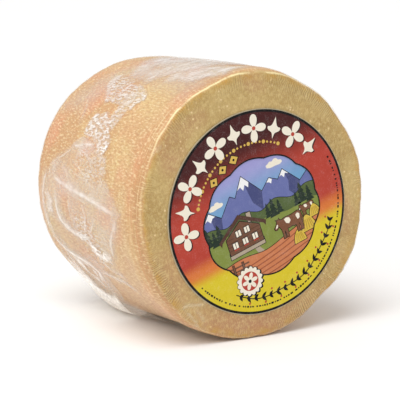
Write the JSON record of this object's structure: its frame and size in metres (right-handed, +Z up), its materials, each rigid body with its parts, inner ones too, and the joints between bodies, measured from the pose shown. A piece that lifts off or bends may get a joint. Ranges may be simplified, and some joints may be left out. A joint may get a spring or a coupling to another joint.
{
  "type": "film-wrapped tete de moine cheese wheel",
  "caption": "Small drum-shaped cheese wheel lying on its side in clear shrink film, with a round paper label on one end.",
  "frame": {"origin": "middle of the footprint, on the surface that the wheel rests on", "axes": "+Z up, Y along the wheel's axis with the labelled end facing -Y, +X to the right of someone who faces the label"},
  "size_m": [0.1186, 0.0992, 0.1187],
  "materials": {
    "film_wrapped_rind": "satin",
    "clear_film": "gloss",
    "label_paper": "satin"
  },
  "bodies": {
    "root": {"wrapped_wheel": "film_wrapped_rind", "label": "label_paper"}
  },
  "joints": []
}
